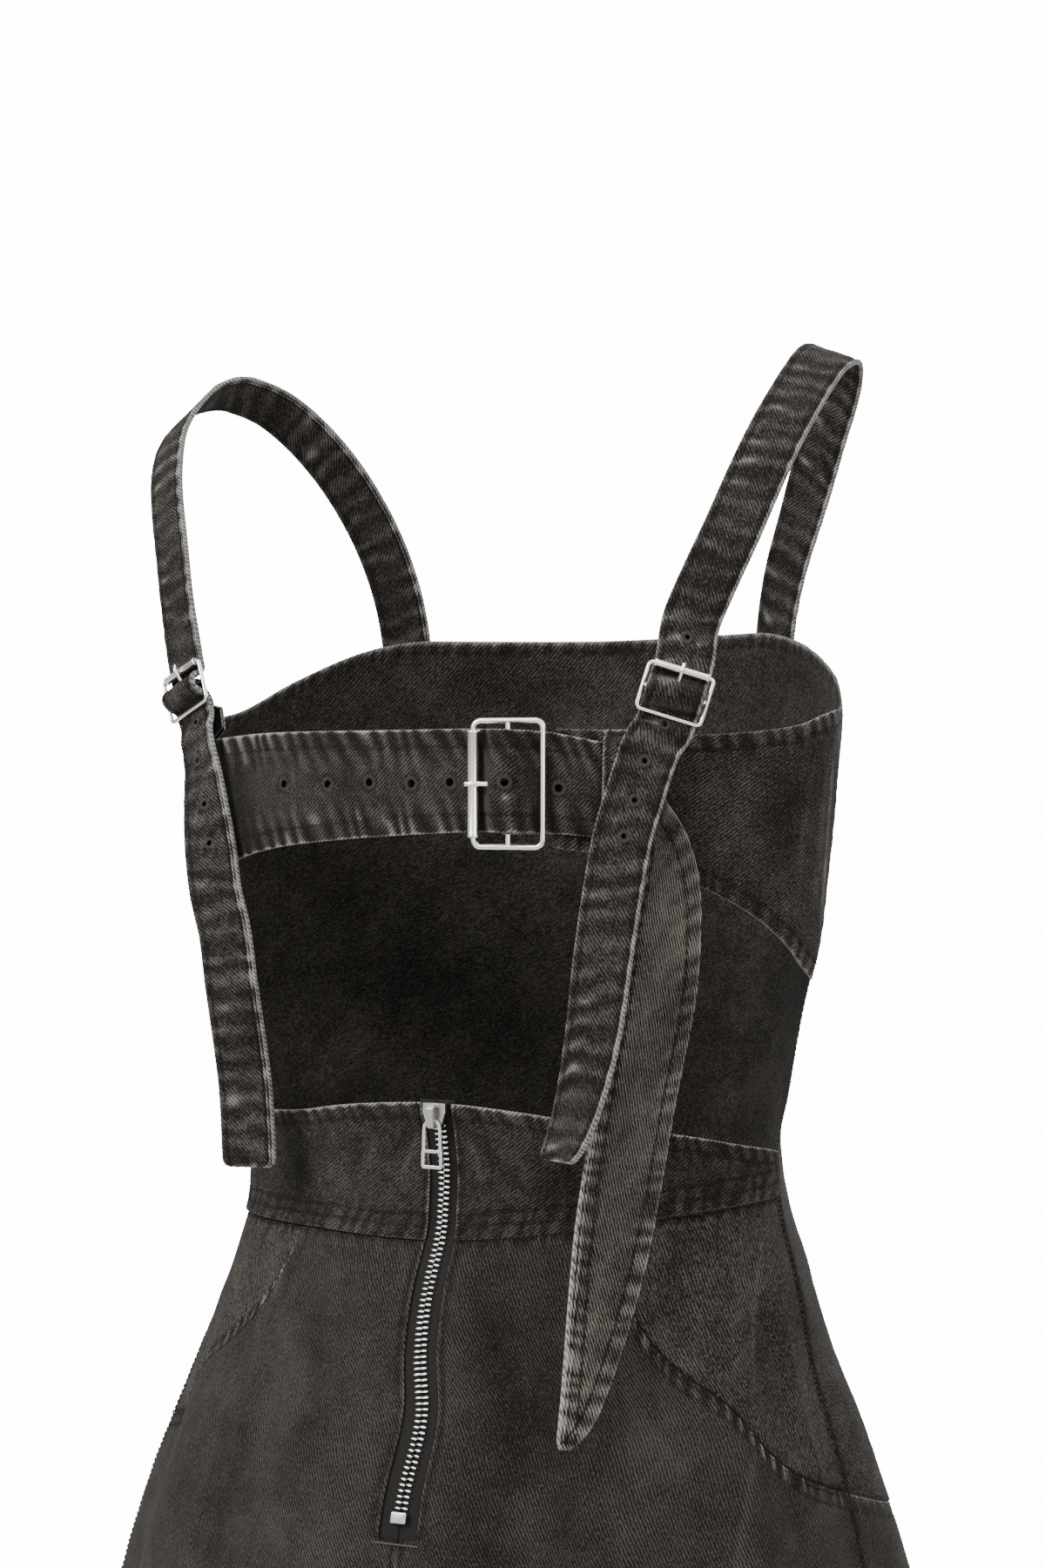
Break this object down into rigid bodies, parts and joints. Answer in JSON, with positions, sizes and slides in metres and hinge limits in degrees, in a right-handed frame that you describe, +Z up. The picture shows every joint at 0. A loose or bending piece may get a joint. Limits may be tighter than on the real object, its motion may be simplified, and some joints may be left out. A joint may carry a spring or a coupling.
{
  "type": "dress",
  "caption": "Sleeveless denim dress with an open back, buckled shoulder straps, a buckled back belt and a back zip.",
  "frame": {"origin": "on the shoulder line, midway between the shoulder straps, at the height of their undersides, where the wearer holds the dress up", "axes": "+Z up, -Y the dress's front, +X the wearer's left"},
  "size_m": [0.5262, 0.3376, 0.8262],
  "materials": {
    "washed_denim": "matte twill",
    "washed_denim_doubled": "matte twill, doubled",
    "satin_nickel": "satin",
    "bright_nickel": "polished",
    "zip_tape": "matte weave"
  },
  "bodies": {
    "dress": {"belt": "washed_denim_doubled", "belt_buckle_frame": "satin_nickel", "belt_buckle_prong": "satin_nickel", "belt_buckle_roller": "satin_nickel", "belt_buckle_tab": "washed_denim_doubled", "belt_keeper": "washed_denim_doubled", "belt_tail": "washed_denim_doubled", "front_panel": "washed_denim", "hip_piece_left": "washed_denim", "hip_piece_right": "washed_denim", "skirt_back_left": "washed_denim", "skirt_back_right": "washed_denim", "skirt_front": "washed_denim", "strap_buckle_left_frame": "satin_nickel", "strap_buckle_left_prong": "satin_nickel", "strap_buckle_left_roller": "satin_nickel", "strap_buckle_right_frame": "satin_nickel", "strap_buckle_right_prong": "satin_nickel", "strap_buckle_right_roller": "satin_nickel", "strap_left": "washed_denim_doubled", "strap_right": "washed_denim_doubled", "strap_tab_left": "washed_denim_doubled", "strap_tab_right": "washed_denim_doubled", "waistband_left": "washed_denim_doubled", "waistband_right": "washed_denim_doubled", "wing_right": "washed_denim_doubled", "zip_chain": "bright_nickel", "zip_slider": "bright_nickel", "zip_stop": "bright_nickel", "zip_tape_left": "zip_tape", "zip_tape_right": "zip_tape"},
    "pull": {"zip_pull": "bright_nickel"}
  },
  "joints": [
    {"name": "pull_hinge", "type": "hinge", "parent": "dress", "child": "pull", "pos_m": [-0.00133, 0.09773, -0.3502], "axis": [1, 0, 0], "range_deg": [0, 150]}
  ]
}
